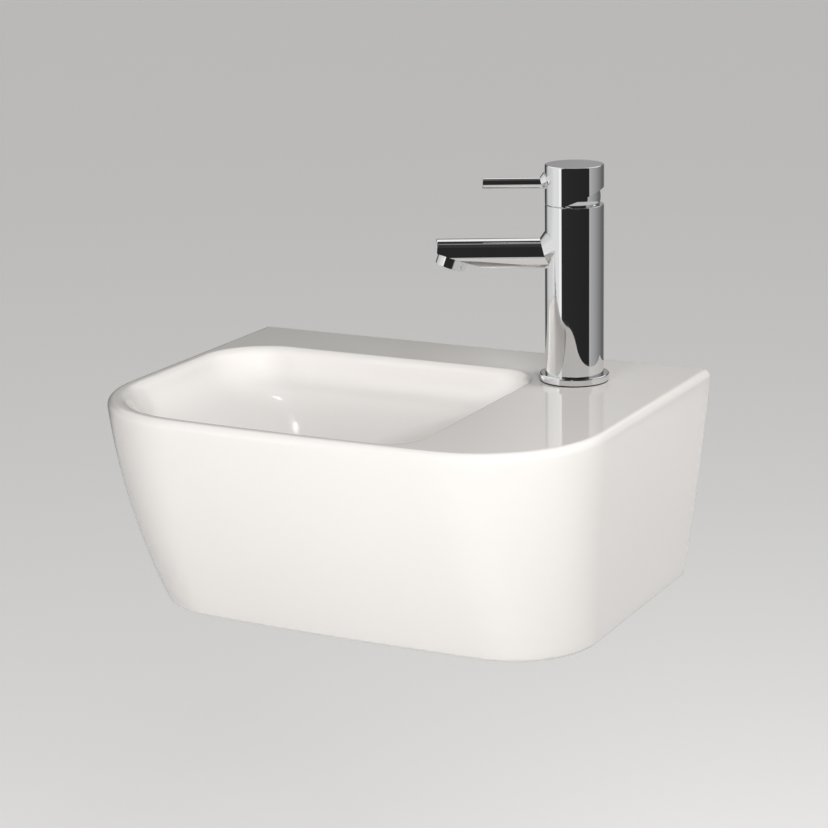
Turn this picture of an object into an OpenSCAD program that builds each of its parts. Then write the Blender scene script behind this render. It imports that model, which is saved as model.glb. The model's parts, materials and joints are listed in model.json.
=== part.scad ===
// Wall-hung hand basin with a flat tap deck on its right, a pin-lever mixer tap and a push waste.
// The origin is midway between the two wall fixings, on the face that meets the wall.
// +X runs to the right, -Y out into the room and +Z up. All sizes are in millimetres.

/* [Basin] */
// Width across the rim
basin_w = 380; // [360:5:420]
// Depth from the wall to the middle of the front
basin_d = 290; // [280:5:320]
// Height of the ceramic from foot to rim
basin_h = 162; // [150:1:180]
// How far each side leans in between rim and foot
side_lean = 20; // [12:1:26]
// How far the front leans in between rim and foot
front_lean = 60; // [46:1:66]
// Corner radius of the rim, seen from above
rim_corner_r = 92; // [80:1:100]
// Corner radius of the foot, seen from above
foot_corner_r = 62; // [50:1:70]
// How far the front bows out at its middle
front_bow = 8; // [5:1:12]
// Rounding along the outer edge of the rim
rim_round = 6; // [4:0.5:7]
// Rounding along the outer edge of the foot
foot_round = 4; // [2:0.5:6]
// Thickness of the side and front walls
wall_t = 11; // [9:0.5:12]
// Thickness of the wall that stands against the building
back_t = 13; // [11:0.5:15]
// Thickness of the tap deck and the ledge behind the bowl
deck_t = 14; // [12:0.5:16]

/* [Bowl] */
// Width of the rim left of the bowl and in front of it
bowl_rim = 8; // [7.5:0.5:10]
// Width of the flat deck right of the bowl
deck_w = 105; // [95:1:112]
// Depth of the flat ledge behind the bowl
ledge_d = 56; // [52:1:62]
// Depth of the bowl at its waste
bowl_depth = 53; // [50:1:58]
// How steeply the bowl's wall falls below its edge, as a share of the bowl's depth
bowl_wall = 0.55; // [0.45:0.01:0.6]
// Thickness of the bowl's shell
shell_t = 11; // [9:0.5:13]
// Corner radius of the bowl at its right front
bowl_front_r = 28; // [22:1:34]
// Corner radius of the bowl at its left back
bowl_left_r = 50; // [44:1:60]
// Corner radius of the bowl beside the tap
bowl_tap_r = 35; // [32:1:44]
// Rounding of the bowl's edge along its left side
side_edge = 10; // [8:0.5:14]
// Rounding of the bowl's edge at the front
front_edge = 9; // [6:0.5:10]
// Rounding of the bowl's edge at the ledge
ledge_edge = 7; // [4:0.5:9]
// Rounding of the crisp edge beside the deck
deck_edge = 2; // [1:0.5:4]
// Steepness in degrees at which the bowl's left side leaves its edge
side_fall = 56; // [50:1:75]
// Steepness in degrees at which the bowl's front leaves its edge
front_fall = 74; // [65:1:85]
// Steepness in degrees at which the bowl's back leaves its edge
ledge_fall = 82; // [70:1:88]

/* [Wall fixings] */
// Distance between the two wall fixings
fixing_pitch = 200; // [180:5:220]
// Depth of the wall fixings below the rim
fixing_drop = 75; // [68:1:80]
// Diameter of the hanger bolts' thread in the wall
bolt_d = 10; // [8:1:10]
// Length of each hanger bolt inside the wall
bolt_grip = 62; // [50:1:80]
// Diameter of the fixing holes in the ceramic
fixing_hole_d = 16; // [15:0.5:18]
// Diameter of the sleeve's collar against the ceramic
collar_d = 34; // [28:1:38]

/* [Waste] */
// Outer diameter of the waste's flange
flange_d = 63; // [60:0.5:66]
// Thickness of the waste's flange
flange_t = 2.6; // [2:0.1:3.2]
// Outer diameter of the waste's thread
waste_d = 41.9; // [41.9]
// Inner diameter of the waste
waste_bore = 37; // [35:0.5:37.5]
// Length of the waste from flange to tail
waste_len = 68; // [64:1:72]
// Diameter of the waste hole in the ceramic
waste_hole_d = 46; // [45.5:0.5:48]
// Travel of the push plug
plug_travel = 8; // [6:0.5:8]

/* [Tap place] */
// Distance from the tap's axis to the right side of the rim
tap_from_side = 80; // [72:1:84]
// Distance from the tap's axis to the wall
tap_from_wall = 67; // [60:1:72]
// Diameter of the tap hole in the deck
tap_hole_d = 35; // [34:0.5:36]
// Angle by which spout and lever turn forward from the wall's line
spout_turn = 25; // [0:1:45]

/* [Tap body] */
// Diameter of the tap's body
body_d = 42; // [41:0.5:46]
// Height of the body from the deck to the handle's seam
body_h = 128.5; // [120:0.5:140]
// Outer diameter of the base ring
ring_d = 50; // [48:0.5:54]
// Height of the base ring
ring_h = 4.8; // [4:0.2:6]
// Distance from the cartridge's seat down to the spout's axis
spout_drop = 7.5; // [7:0.5:14]
// Diameter of the spout
spout_d = 22; // [21:0.5:24]
// Length of the raised root where the spout leaves the body
spout_flare = 3.5; // [2.5:0.5:4.5]
// Distance from the tap's axis to the spout's end
spout_reach = 98.5; // [95:0.5:115]
// Length of the sloping cut under the spout's end
nozzle_cut = 39.5; // [37:0.5:41]
// Angle of that cut, and of the nozzle
nozzle_tilt = 19; // [18:1:20]
// Diameter of the aerator's housing
aerator_d = 21.5; // [20:0.5:22]
// Length of the aerator's housing outside the spout
aerator_drop = 8; // [6:0.5:9]

/* [Tap handle] */
// Height of the handle's cap
cap_h = 28; // [27:0.5:34]
// Wall of the cap's skirt
cap_wall = 1.6; // [1.4:0.1:1.8]
// Height of the lever's axis above the seam
lever_z = 15; // [15:0.5:16]
// Diameter of the pin lever
lever_d = 8; // [7:0.5:8]
// Length of the raised root where the lever leaves the cap
lever_flare = 3.5; // [2.5:0.5:4]
// Distance from the tap's axis to the lever's end
lever_reach = 65.5; // [55:0.5:80]
// Gap at the seam between body and handle
seam_gap = 0.5; // [0.3:0.1:0.8]
// Angle of the cap's cut away edge, which lets the handle tip back
cap_cut = 22; // [20:1:24]
// Height of the handle's tipping axis above the seam
pivot_z = 5.5; // [5:0.5:6]

/* [Cartridge] */
// Diameter of the cartridge's housing
cart_d = 28.8; // [28:0.2:29]
// Depth of the cartridge's seat below the seam
cart_depth = 28; // [27:0.5:30]
// Diameter of the turning spindle
spindle_d = 22; // [21:0.2:22]
// Distance from the tipping axis to the ball that slides the disc
ball_arm = 10; // [9:0.5:10.5]

/* [Hidden] */

$fn = 64;
white = "WhiteSmoke";
chrome = "Silver";
brass = "DarkGoldenrod";
rubber = "DimGray";
plastic = "LightGray";
steel = "SlateGray";

// Small gaps and fits
fit = 0.1;
sliding_fit = 0.05;
past = 1;

// Basin places, with z counted from the rim
half_w = basin_w / 2;
arc_r = (half_w * half_w + front_bow * front_bow) / (2 * front_bow);
back_corner_r = 1.5;
inner_corner_r = 8;
side_curve = 0.3;
front_curve = 0.56;
bowl_left = -half_w + bowl_rim;
bowl_right = half_w - deck_w;
bowl_front = -basin_d + bowl_rim;
bowl_back = -ledge_d;
waste_x = (bowl_left + bowl_right) / 2;
waste_y = (bowl_front + bowl_back) / 2;
rebate_r = flange_d / 2 + 1.5;
gasket_t = 1.2;
rebate_t = flange_t + gasket_t;
floor_t = 12;
deck_fall = 90;
bowl_run = waste_x - rebate_r - bowl_left;
knee_in = 0.25;
knee_down = 0.46;
under_ledge = 3;
crown_gap = 5;
bisections = 20;

// Points along each stretch of an outline: back corner, side, front corner, front, back edge
back_count = 6;
side_count = 3;
corner_count = 10;
front_count = 6;
ledge_count = 4;
ring_count = 2 * (back_count + side_count + corner_count) + front_count + ledge_count;

// Rings between the edges of each of the ceramic's faces
wall_rings = 5;
bowl_rings = 10;
under_rings = 5;
inner_rings = 3;

// Wall fixings
sleeve_t = 3;
sleeve_d = fixing_hole_d - 0.4;
washer_t = 2;
washer_d = 28;
nut_af = 17;
nut_h = 8;
bolt_tip = 8;
bolt_tip_d = 1;
bolt_room_d = bolt_d - 0.2;
bolt_chamfer = 0.9;
bolt_out = back_t + sleeve_t + washer_t + nut_h + 6;

// Waste, with z counted from the flange's top face
neck_d = waste_hole_d - 1;
neck_len = 10;
plug_seat = 4.5;
plug_d = 41;
plug_t = 3.4;
plug_seal_t = plug_seat - plug_t;
bridge_z = 34;
bridge_t = 4;
bridge_w = 4;
sleeve_top = plug_seat + 5;
latch_d = 13;
latch_bore = 9;
latch_floor = 2;
latch_pin_d = 6;
stem_len = 20;
spring_wire = 0.9;
spring_turns = 4.5;
tail_groove_d = 40;
tail_groove = 2;
under_seal_t = 5;
under_seal_d = 60;
under_washer_t = 2;
back_nut_h = 8;
back_nut_af = 52;
ceramic_under = rebate_t + floor_t;
waste_clamped = ceramic_under + under_seal_t + under_washer_t + back_nut_h;

// Tap, with z counted from the deck
base_gasket_t = 1;
ring_top = base_gasket_t + ring_h;
ring_bore = 36.4;
spigot_d = 33;
spigot_len = 6;
block_top = 14;
seam_z = body_h;
seat_z = body_h - cart_depth;
spout_z = seat_z - spout_drop;
pivot = [0, 0, seam_z + pivot_z];
nut_thread_d = 33;
nut_depth = 14;
inlet_r = 4.5;
inlet_depth = 14;
inlet_x = 3;
inlet_y = 7.8;
port_d = 5;
port_x = 4;
port_y = 7;
mix_x = -5.5;
stud_d = 8;
stud_x = -12.5;
stud_len = 52;
stud_in = 12;
clamp_t = 3;
clamp_r = 23;
clamp_reach = 4;
clamp_room = 1.5;
clamp_slot = 28;
clamp_nut_h = 8;
clamp_nut_af = 13;
waterway_d = 7;
waterway_rise = 0.5;
cut_start = spout_reach - nozzle_cut;
nozzle_back = 12;
nozzle_u = spout_reach - nozzle_back;
nozzle_z = -spout_d / 2 + (nozzle_u - cut_start) * tan(nozzle_tilt);
aerator_neck_d = 17;
aerator_neck = 4.5;
aerator_room = 0.5;
aerator_bore = 15;
aerator_mouth = 13;
aerator_lip = 1.5;
aerator_seal_t = 1;
aerator_hole_d = 1.8;
aerator_rings = [[2.6, 6], [5.2, 10]];
edge_break = 0.8;

// Cartridge, with z counted from its seat
base_t = 3;
port_seal_t = 0.6;
port_seal_w = 0.8;
disc_t = 3;
chamber_d = 26;
chamber_h = 13.5;
fixed_disc_d = 25;
moving_disc_d = 21;
disc_rest = -2.1;
pocket_d = 14;
carrier_t = 3;
bore_d = spindle_d + 2 * fit;
housing_shoulder = 20;
housing_neck_d = 26;
spindle_neck_d = 18;
spindle_wall = 1.5;
slot_wall = 1.6;
spindle_roof = 2;
seal_drop = 6;
spindle_seal_t = 1.6;
spindle_floor = 14;
spindle_step = 28.5;
housing_top = 36;
spindle_top = 38;
ball_r = 3;
ball_neck = 0.8;
socket_wall = 2;
stem_w = 7.8;
stem_drop = 4;
pin_d = 2.5;
shroud_gap = 0.7;
shroud_r = body_d / 2 - cap_wall - shroud_gap;
shroud_top = 10;
shroud_opening = 26.6;
nut_outer_d = 31;
nut_rise = 5;
lever_thread_d = 6;
boss_d = 17;
boss_drop = 5.5;
lever_boss_d = 9;
cap_ceiling = 19.5;
cut_from_axis = 9;
flare_tilt = 28;
flare_length = 0.65;
flare_rise = 0.05;

function mix(a, b, t) = a + (b - a) * t;
function deg_span(a, b, i, n) = mix(a, b, i / n);

// An outline is [left, right, back, arc centre x, front, and the radii of its left front,
// right front, left back and right back corners]. Its points run clockwise from the right back.
function corner_y(o, x, r) = o[4] + arc_r - sqrt(pow(arc_r - r, 2) - pow(x - o[3], 2));
function corner_end(o, x, y) = atan2(y - o[4] - arc_r, x - o[3]);
function around(x, y, r, a) = [x + r * cos(a), y + r * sin(a)];

function right_point(o, i) =
    let (x = o[1] - o[6], y = corner_y(o, x, o[6]))
    i <= back_count ? around(o[1] - o[8], o[2] - o[8], o[8], deg_span(90, 0, i, back_count))
    : i <= back_count + side_count ? [o[1], mix(o[2] - o[8], y, (i - back_count) / side_count)]
    : around(x, y, o[6], deg_span(0, corner_end(o, x, y), i - back_count - side_count, corner_count));

function left_point(o, i) =
    let (x = o[0] + o[5], y = corner_y(o, x, o[5]))
    i <= corner_count ? around(x, y, o[5], deg_span(corner_end(o, x, y), -180, i, corner_count))
    : i <= corner_count + side_count ? [o[0], mix(y, o[2] - o[7], (i - corner_count) / side_count)]
    : around(o[0] + o[7], o[2] - o[7], o[7], deg_span(180, 90, i - corner_count - side_count, back_count));

function front_point(o, i) =
    let (xr = o[1] - o[6], xl = o[0] + o[5])
    let (ar = corner_end(o, xr, corner_y(o, xr, o[6])), al = corner_end(o, xl, corner_y(o, xl, o[5])))
    around(o[3], o[4] + arc_r, arc_r, deg_span(ar, al, i, front_count));

function outline_point(o, i) =
    let (side = back_count + side_count + corner_count)
    i <= side ? right_point(o, i)
    : i < side + front_count ? front_point(o, i - side)
    : i <= 2 * side + front_count ? left_point(o, i - side - front_count)
    : [mix(o[0] + o[7], o[1] - o[8], (i - 2 * side - front_count) / ledge_count), o[2]];

function ring(o, z) = [for (i = [0 : ring_count - 1]) let (p = outline_point(o, i)) [p[0], p[1], z]];

// How far the side and the front have leaned in at a depth below the rim
function lean(total, curve, t) = total * ((1 - curve) * t + curve * t * t);

// Outline of the ceramic at a depth z below the rim, drawn in by e, with its back at y
function shell_outline(z, e, back, back_r) =
    let (t = -z / basin_h, s = lean(side_lean, side_curve, t) + e)
    let (r = max(mix(rim_corner_r, foot_corner_r, t) - e, inner_corner_r))
    [-half_w + s, half_w - s, back, 0, -basin_d + lean(front_lean, front_curve, t) + e, r, r,
     back_r, back_r];

// Outline of the bowl, drawn in by the share e of its edge rounding, then by the share s of the
// way to the rebate for the waste, and let out by g
function bowl_outline(e, s, g) =
    [mix(bowl_left + e * side_edge, waste_x - rebate_r, s) - g,
     mix(bowl_right - e * deck_edge, waste_x + rebate_r, s) + g,
     mix(bowl_back - e * ledge_edge, waste_y + rebate_r, s) + g,
     mix(0, waste_x, s),
     mix(bowl_front + e * front_edge, waste_y - rebate_r, s) - g,
     mix(rim_corner_r - bowl_rim - e * front_edge, rebate_r, s) + g,
     mix(bowl_front_r - e * deck_edge, rebate_r, s) + g,
     mix(bowl_left_r - e * ledge_edge, rebate_r, s) + g,
     mix(bowl_tap_r - e * deck_edge, rebate_r, s) + g];

function circle_outline(r) =
    [waste_x - r, waste_x + r, waste_y + r, waste_x, waste_y - r, r, r, r, r];

// A value that differs by side at each point of the bowl's outline, blended round the corners
function ease(t) = t * t * (3 - 2 * t);
function blend_at(i, deck, front, left, ledge) =
    let (side = back_count + side_count + corner_count, left_end = side + front_count)
    let (left_side = left_end + corner_count + side_count)
    i <= back_count ? mix(ledge, deck, ease(i / back_count))
    : i <= back_count + side_count ? deck
    : i <= side ? mix(deck, front, ease((i - back_count - side_count) / corner_count))
    : i <= left_end ? front
    : i <= left_end + corner_count ? mix(front, left, ease((i - left_end) / corner_count))
    : i <= left_side ? left
    : i <= left_end + side ? mix(left, ledge, ease((i - left_side) / back_count))
    : ledge;
function edge_at(i) = blend_at(i, deck_edge, front_edge, side_edge, ledge_edge);
function fall_at(i) = blend_at(i, deck_fall, front_fall, side_fall, ledge_fall);

// The edge's rounding, turned by the share t of the angle at which the bowl leaves it
function edge_ring(t) =
    [for (i = [0 : ring_count - 1])
        let (a = t * fall_at(i), p = outline_point(bowl_outline(sin(a), 0, 0), i))
        [p[0], p[1], -edge_at(i) * (1 - cos(a))]];

// The bowl falls steeply below its edge and bends into a gentle slope down to the waste, along a
// curve with u from 0 at the edge to 1 at the waste
function wall_in(i) = bowl_wall * bowl_depth / bowl_run * cos(fall_at(i)) / sin(fall_at(i));
function bowl_in(i, u) =
    3 * pow(1 - u, 2) * u * wall_in(i) + 3 * (1 - u) * u * u * knee_in + pow(u, 3);
function bowl_down(u) =
    3 * pow(1 - u, 2) * u * bowl_wall + 3 * (1 - u) * u * u * knee_down + pow(u, 3);
function bowl_point(i, u, g) =
    let (a = fall_at(i), p = outline_point(bowl_outline(sin(a), bowl_in(i, u), g), i))
    [p[0], p[1], -mix(edge_at(i) * (1 - cos(a)), bowl_depth, bowl_down(u))];

// The bowl's underside follows the bowl at the shell's thickness
function under_point(i, u) =
    let (upright = pow(1 - u, 3), p = bowl_point(i, u, mix(under_ledge, shell_t, upright)))
    [p[0], p[1], p[2] - shell_t * (1 - upright) - (floor_t + rebate_t - shell_t) * u];
function inner_point(i, z) =
    let (p = outline_point(shell_outline(z, wall_t, -back_t, inner_corner_r), i)) [p[0], p[1], z];

// It ends at the deck's underside, or where it comes close to the outer wall
function room(i, u) =
    let (p = under_point(i, u), v = inner_point(i, p[2]), w = outline_point(circle_outline(1), i))
    (v[0] - p[0]) * (v[0] - w[0]) + (v[1] - p[1]) * (v[1] - w[1])
        - crown_gap * norm([v[0] - w[0], v[1] - w[1]]);
function is_free(i, u) = under_point(i, u)[2] < -deck_t && room(i, u) > 0;
function meeting(i, low, high, n) =
    n == 0 ? high
    : is_free(i, (low + high) / 2) ? meeting(i, low, (low + high) / 2, n - 1)
    : meeting(i, (low + high) / 2, high, n - 1);

module ring_solid(rings) {
    n = ring_count;
    m = len(rings);
    points = [for (r = rings) each r];
    faces = [for (j = [0 : m - 1], i = [0 : n - 1])
        let (a = j * n + i, b = j * n + (i + 1) % n, k = (j + 1) % m)
        let (c = k * n + (i + 1) % n, d = k * n + i)
        each [[a, c, b], [a, d, c]]];
    polyhedron(points, faces, convexity = 10);
}

// Places
module at_rim() {
    translate([0, 0, fixing_drop]) children();
}

module at_tap() {
    translate([half_w - tap_from_side, -tap_from_wall, fixing_drop])
        rotate([0, 0, 180 + spout_turn]) children();
}

module at_waste() {
    translate([waste_x, waste_y, fixing_drop - bowl_depth]) children();
}

// The plug is drawn open, at the top of its travel
module at_plug() {
    at_waste() translate([0, 0, plug_travel]) children();
}

module at_fixings() {
    for (side = [-1, 1])
        translate([side * fixing_pitch / 2, 0, 0]) rotate([90, 0, 0]) children();
}

module at_nozzle() {
    translate([nozzle_u, 0, spout_z + nozzle_z]) rotate([0, -nozzle_tilt, 0]) children();
}

module tube(d, bore, h, z = 0) {
    translate([0, 0, z]) difference() {
        cylinder(d = d, h = h);
        translate([0, 0, -past]) cylinder(d = bore, h = h + 2 * past);
    }
}

module hex(af, h) {
    cylinder(d = af / cos(30), h = h, $fn = 6);
}

// Ceramic
module basin_shape() {
    top = rim_round;
    low = -basin_h + foot_round;
    joins = [for (i = [0 : ring_count - 1]) meeting(i, 0, 1, bisections)];
    foot = [
        ring(shell_outline(-basin_h, wall_t, -back_t, inner_corner_r), -basin_h),
        for (a = [90 : -45 : 0])
            ring(shell_outline(-basin_h + foot_round * (1 - sin(a)), foot_round * (1 - cos(a)), 0,
                back_corner_r), low - foot_round * sin(a))
    ];
    wall = [for (k = [1 : wall_rings])
        let (z = mix(low, -top, k / wall_rings)) ring(shell_outline(z, 0, 0, back_corner_r), z)];
    rim = [for (a = [22.5 : 22.5 : 90])
        let (z = -top + top * sin(a)) ring(shell_outline(z, top * (1 - cos(a)), 0, back_corner_r), z)];
    edge = [for (k = [0 : 3]) edge_ring(k / 3)];
    bowl = [for (k = [1 : bowl_rings])
        [for (i = [0 : ring_count - 1]) bowl_point(i, k / bowl_rings, 0)]];
    hole = [
        ring(circle_outline(rebate_r), -bowl_depth - rebate_t),
        ring(circle_outline(waste_hole_d / 2), -bowl_depth - rebate_t),
        ring(circle_outline(waste_hole_d / 2), -bowl_depth - ceramic_under)
    ];
    under = [for (k = [0 : under_rings])
        [for (i = [0 : ring_count - 1]) under_point(i, mix(1, joins[i], k / under_rings))]];
    inner = [for (k = [0 : inner_rings - 1])
        [for (i = [0 : ring_count - 1])
            let (z = under_point(i, joins[i])[2])
                inner_point(i, mix(z, -basin_h, k / inner_rings))]];
    ring_solid(concat(foot, wall, rim, edge, bowl, hole, under, inner));
}

module basin_body() {
    color(white) difference() {
        at_rim() basin_shape();
        at_tap() translate([0, 0, -deck_t - past]) cylinder(d = tap_hole_d, h = deck_t + 2 * past);
        at_fixings() translate([0, 0, -past]) cylinder(d = fixing_hole_d, h = back_t + 2 * past);
    }
}

// Wall fixings, drawn with the wall below z = 0 and the room above it
module hanger_bolts() {
    color(steel) at_fixings() {
        translate([0, 0, -bolt_grip]) cylinder(d1 = bolt_tip_d, d2 = bolt_d, h = bolt_tip);
        translate([0, 0, -bolt_grip + bolt_tip]) cylinder(d = bolt_d, h = bolt_grip - bolt_tip);
        translate([0, 0, -bolt_tip]) cylinder(d = bolt_room_d, h = bolt_tip + bolt_out - bolt_chamfer);
        translate([0, 0, bolt_out - bolt_chamfer])
            cylinder(d1 = bolt_room_d, d2 = bolt_room_d - 2 * bolt_chamfer, h = bolt_chamfer);
    }
}

module bolt_sleeves() {
    color(plastic) at_fixings() difference() {
        union() {
            cylinder(d = sleeve_d, h = back_t + sleeve_t);
            translate([0, 0, back_t]) cylinder(d = collar_d, h = sleeve_t);
        }
        translate([0, 0, -past]) cylinder(d = bolt_d + 2 * fit, h = back_t + sleeve_t + 2 * past);
    }
}

module bolt_washers() {
    color(steel) at_fixings() tube(washer_d, bolt_d + 4 * fit, washer_t, back_t + sleeve_t);
}

module bolt_nuts() {
    color(steel) at_fixings() translate([0, 0, back_t + sleeve_t + washer_t]) difference() {
        hex(nut_af, nut_h);
        translate([0, 0, -past]) cylinder(d = bolt_room_d + 2 * sliding_fit, h = nut_h + 2 * past);
    }
}

// Waste
module waste_body() {
    color(chrome) at_waste() difference() {
        union() {
            difference() {
                union() {
                    translate([0, 0, -flange_t]) cylinder(d = flange_d, h = flange_t);
                    translate([0, 0, -neck_len]) cylinder(d = neck_d, h = neck_len);
                    translate([0, 0, -waste_len]) cylinder(d = waste_d, h = waste_len);
                }
                translate([0, 0, -waste_len - past]) cylinder(d = waste_bore, h = waste_len + 2 * past);
                translate([0, 0, -plug_seat]) cylinder(d = plug_d + 4 * fit, h = plug_seat + past);
                tube(flange_d, tail_groove_d, tail_groove, -waste_clamped - tail_groove);
            }
            translate([0, 0, -bridge_z - bridge_t]) intersection() {
                cylinder(d = waste_bore + 1, h = bridge_t);
                for (a = [0, 60, 120]) rotate([0, 0, a]) translate([-waste_d / 2, -bridge_w / 2, 0])
                    cube([waste_d, bridge_w, bridge_t]);
            }
            translate([0, 0, -bridge_z - bridge_t]) cylinder(d = latch_d, h = bridge_t);
        }
        translate([0, 0, -bridge_z - bridge_t - past])
            cylinder(d = latch_pin_d + 2 * sliding_fit, h = bridge_t + 2 * past);
    }
}

module waste_gasket() {
    color(rubber) at_waste() tube(flange_d - 2, neck_d + 1, gasket_t, -rebate_t);
}

module waste_seal() {
    color(rubber) at_waste()
        tube(under_seal_d, waste_d + 2 * fit, under_seal_t, -ceramic_under - under_seal_t);
}

module waste_washer() {
    z = -ceramic_under - under_seal_t - under_washer_t;
    color(plastic) at_waste() tube(under_seal_d, waste_d + 4 * fit, under_washer_t, z);
}

module waste_back_nut() {
    color(brass) at_waste() translate([0, 0, -waste_clamped]) difference() {
        hex(back_nut_af, back_nut_h);
        translate([0, 0, -past]) cylinder(d = waste_d + 2 * sliding_fit, h = back_nut_h + 2 * past);
    }
}

module plug_cap() {
    color(chrome) at_plug() rotate_extrude() polygon([
        [0, -plug_t], [plug_d / 2, -plug_t], [plug_d / 2, -edge_break],
        [plug_d / 2 - edge_break, 0], [plug_d / 4, 0.7], [0, 1]
    ]);
}

module plug_seal() {
    color(rubber) at_plug() tube(plug_d - 0.6, waste_bore - 2, plug_seal_t, -plug_seat);
}

module plug_stem() {
    color(plastic) at_plug() translate([0, 0, -plug_t - stem_len])
        cylinder(d = latch_bore - 4 * sliding_fit, h = stem_len);
}

module latch_sleeve() {
    h = bridge_z - sleeve_top;
    color(plastic) at_waste() difference() {
        union() {
            translate([0, 0, -bridge_z]) cylinder(d = latch_d, h = h);
            translate([0, 0, -bridge_z - bridge_t]) cylinder(d = latch_pin_d, h = bridge_t);
        }
        translate([0, 0, -bridge_z + latch_floor]) cylinder(d = latch_bore, h = h);
    }
}

// The spring is one round wire, wound from the sleeve's floor up to the stem
module latch_spring() {
    low = -bridge_z + latch_floor;
    high = plug_travel - plug_t - stem_len;
    r = latch_bore / 2 - spring_wire;
    sides = 6;
    steps = 16 * spring_turns;
    rise = high - low - spring_wire;
    loops = [for (k = [0 : steps], s = [0 : sides - 1])
        let (a = 360 * spring_turns * k / steps, b = 360 * s / sides, q = r + spring_wire / 2 * cos(b))
        [q * cos(a), q * sin(a), low + spring_wire / 2 + rise * k / steps + spring_wire / 2 * sin(b)]];
    skin = [for (k = [0 : steps - 1], s = [0 : sides - 1])
        let (a = k * sides + s, b = k * sides + (s + 1) % sides)
        each [[a, b, b + sides], [a, b + sides, a + sides]]];
    ends = [
        for (s = [1 : sides - 2]) [0, s + 1, s],
        for (s = [1 : sides - 2]) [steps * sides, steps * sides + s, steps * sides + s + 1]
    ];
    color(steel) at_waste() polyhedron(loops, concat(skin, ends), convexity = 10);
}

// The raised root of a round bar d that leaves the tap along +X: a cone that leans, so that its
// underside runs level with the bar's and its top rises towards the tap
module root_flare(d, reach) {
    start = body_d / 2 + reach;
    back = d * sin(flare_tilt) - d * (1 - cos(flare_tilt)) / tan(2 * flare_tilt);
    h = flare_length * d;
    translate([start - back, 0, flare_rise - d / 2]) rotate([0, flare_tilt, 0]) translate([0, 0, d / 2])
        rotate([0, -90, 0]) cylinder(d1 = d, d2 = d + 2 * h * tan(flare_tilt), h = h);
}

// Tap body and what clamps it to the deck
module spout_solid() {
    translate([0, 0, spout_z]) intersection() {
        root_flare(spout_d, spout_flare);
        translate([0, -spout_d, -spout_d / 2]) cube([spout_reach, 2 * spout_d, 2 * spout_d]);
    }
    translate([0, 0, spout_z]) difference() {
        rotate([0, 90, 0]) union() {
            cylinder(d = spout_d, h = spout_reach - edge_break);
            translate([0, 0, spout_reach - edge_break])
                cylinder(d1 = spout_d, d2 = spout_d - 2 * edge_break, h = edge_break);
        }
        translate([cut_start, 0, -spout_d / 2]) rotate([0, -nozzle_tilt, 0])
            translate([0, -spout_d, -spout_d]) cube([2 * nozzle_cut, 2 * spout_d, spout_d]);
    }
}

module tap_body() {
    color(chrome) at_tap() difference() {
        union() {
            translate([0, 0, ring_top]) cylinder(d = body_d, h = body_h - ring_top);
            translate([0, 0, base_gasket_t]) cylinder(d = ring_bore - 2 * fit, h = ring_top);
            spout_solid();
        }
        translate([0, 0, -past]) cylinder(d = spigot_d + 2 * fit, h = block_top + past);
        translate([0, 0, seat_z]) cylinder(d = cart_d + 2 * fit, h = cart_depth + past);
        translate([0, 0, seam_z - nut_depth]) cylinder(d = nut_thread_d + 2 * fit, h = nut_depth + past);
        translate([mix_x, 0, spout_z + waterway_rise]) cylinder(d = port_d, h = seat_z - spout_z);
        translate([mix_x - port_d / 2, 0, spout_z + waterway_rise]) rotate([0, 90, 0])
            cylinder(d = waterway_d, h = nozzle_u - mix_x);
        at_nozzle() translate([0, 0, -past])
            cylinder(d = aerator_neck_d + 2 * fit, h = aerator_neck + aerator_room + past);
        for (side = [-1, 1])
            translate([port_x, side * port_y, 0]) cylinder(d = port_d, h = seat_z + past);
    }
}

module inlet_block() {
    color(brass) at_tap() difference() {
        translate([0, 0, -spigot_len]) cylinder(d = spigot_d, h = spigot_len + block_top);
        for (side = [-1, 1]) {
            translate([inlet_x, side * inlet_y, -spigot_len - past])
                cylinder(r = inlet_r, h = inlet_depth + past);
            translate([port_x, side * port_y, 0]) cylinder(d = port_d, h = block_top + past);
        }
        translate([stud_x, 0, -spigot_len - past])
            cylinder(d = stud_d + 2 * sliding_fit, h = stud_in + past);
    }
}

module base_ring() {
    color(chrome) at_tap() translate([0, 0, base_gasket_t]) difference() {
        union() {
            cylinder(d = ring_d, h = ring_h - edge_break);
            translate([0, 0, ring_h - edge_break])
                cylinder(d1 = ring_d, d2 = ring_d - 2 * edge_break, h = edge_break);
        }
        translate([0, 0, -past]) cylinder(d = ring_bore, h = ring_h + 2 * past);
    }
}

module base_gasket() {
    color(rubber) at_tap() tube(ring_d - 1, spigot_d + 2 * fit, base_gasket_t);
}

module fixing_stud() {
    color(steel) at_tap() translate([stud_x, 0, -spigot_len + stud_in - stud_len - stud_in])
        cylinder(d = stud_d, h = stud_len + stud_in);
}

module clamp_shape(h) {
    difference() {
        intersection() {
            cylinder(r = clamp_r, h = h);
            translate([-clamp_r, -clamp_r, 0]) cube([clamp_r + clamp_reach, 2 * clamp_r, h]);
        }
        translate([stud_x + stud_d / 2 + clamp_room, -clamp_slot / 2, -past])
            cube([2 * clamp_r, clamp_slot, h + 2 * past]);
        translate([stud_x, 0, -past]) cylinder(d = stud_d + 2 * fit, h = h + 2 * past);
    }
}

module clamp_gasket() {
    color(rubber) at_tap() translate([0, 0, -deck_t - clamp_t]) clamp_shape(clamp_t);
}

module clamp_plate() {
    color(steel) at_tap() translate([0, 0, -deck_t - 2 * clamp_t]) clamp_shape(clamp_t);
}

module clamp_nut() {
    color(brass) at_tap() translate([stud_x, 0, -deck_t - 2 * clamp_t - clamp_nut_h]) difference() {
        hex(clamp_nut_af, clamp_nut_h);
        translate([0, 0, -past]) cylinder(d = stud_d + 2 * sliding_fit, h = clamp_nut_h + 2 * past);
    }
}

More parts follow.
